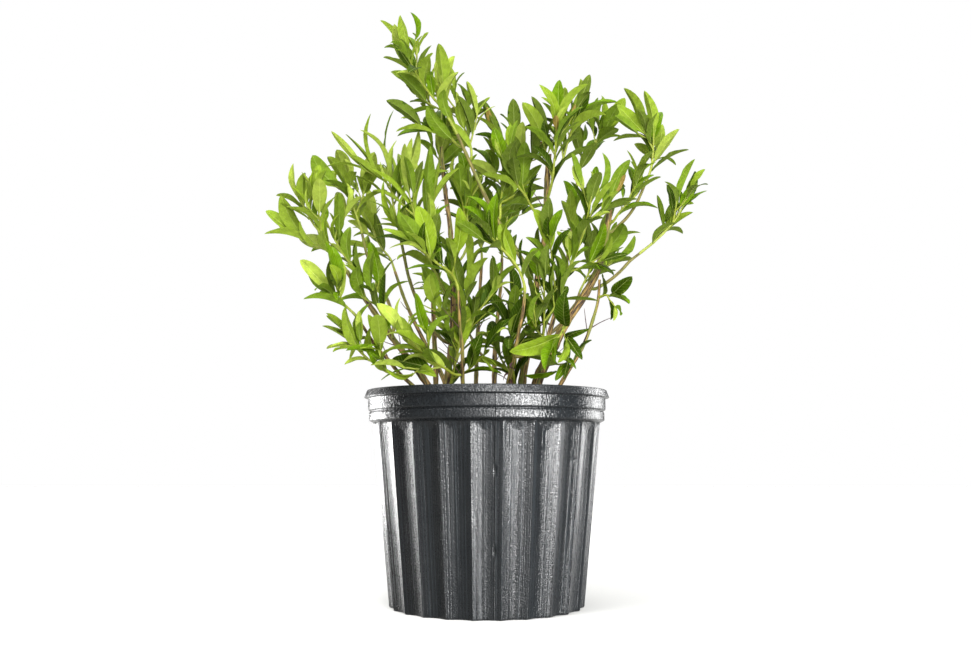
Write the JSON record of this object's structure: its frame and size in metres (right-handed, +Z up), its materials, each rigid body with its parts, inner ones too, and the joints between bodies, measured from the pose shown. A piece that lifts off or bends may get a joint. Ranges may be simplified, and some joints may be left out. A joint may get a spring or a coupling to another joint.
{
  "type": "potted blueberry bush",
  "caption": "Young many-stemmed blueberry shrub with narrow leaves, in a black fluted nursery pot that stands on its flat underside.",
  "frame": {"origin": "centre of the pot's flat underside", "axes": "+Z up along the canes, -Y towards the front of the pictured view, +X to its right"},
  "size_m": [0.5151, 0.4082, 0.6763],
  "materials": {
    "pot_plastic": "satin black-grey polyethylene with fine draw marks",
    "potting_mix": "damp red-brown bark and peat crumbs with white perlite",
    "bark": "matt tan-brown bark with fine lengthwise cracks",
    "green_bark": "smooth young green-brown bark",
    "foliage": "satin leaves, paler underneath"
  },
  "bodies": {
    "root": {"pot": "pot_plastic", "potting_mix": "potting_mix", "cane_left": "bark", "cane_left_low": "bark", "cane_middle": "bark", "cane_middle_back": "bark", "cane_front_left": "bark", "cane_centre_back": "bark", "cane_stub": "bark", "cane_right_main": "bark", "cane_right": "bark", "cane_right_low": "bark", "cane_back_right": "bark", "cane_back": "bark", "cane_back_left": "bark", "cane_front_right": "bark", "bough_up_left": "green_bark", "bough_left_inner": "green_bark", "bough_left_outer": "green_bark", "bough_right_up": "green_bark", "bough_right_out": "green_bark", "bough_back_right": "green_bark", "bough_back_low": "green_bark", "bough_front_out": "green_bark", "foliage_top": "foliage", "foliage_top_second": "foliage", "foliage_top_middle": "foliage", "foliage_crown_left": "foliage", "foliage_upper_left": "foliage", "foliage_left_oval": "foliage", "foliage_left_tip": "foliage", "foliage_left_second": "foliage", "foliage_left_low": "foliage", "foliage_left_skirt": "foliage", "foliage_left_inner": "foliage", "foliage_middle_left": "foliage", "foliage_middle": "foliage", "foliage_front_left": "foliage", "foliage_low_left": "foliage", "foliage_low_middle": "foliage", "foliage_front": "foliage", "foliage_front_low": "foliage", "foliage_low_centre": "foliage", "foliage_low_main": "foliage", "foliage_bough_middle": "foliage", "foliage_top_gap": "foliage", "foliage_top_centre": "foliage", "foliage_top_right": "foliage", "foliage_right_main": "foliage", "foliage_right_inner": "foliage", "foliage_right_crown": "foliage", "foliage_right_top": "foliage", "foliage_right_tip": "foliage", "foliage_right_low": "foliage", "foliage_low_right": "foliage", "foliage_back_right": "foliage", "foliage_back": "foliage", "foliage_back_low": "foliage", "foliage_back_left": "foliage", "foliage_centre_back": "foliage"}
  },
  "joints": []
}
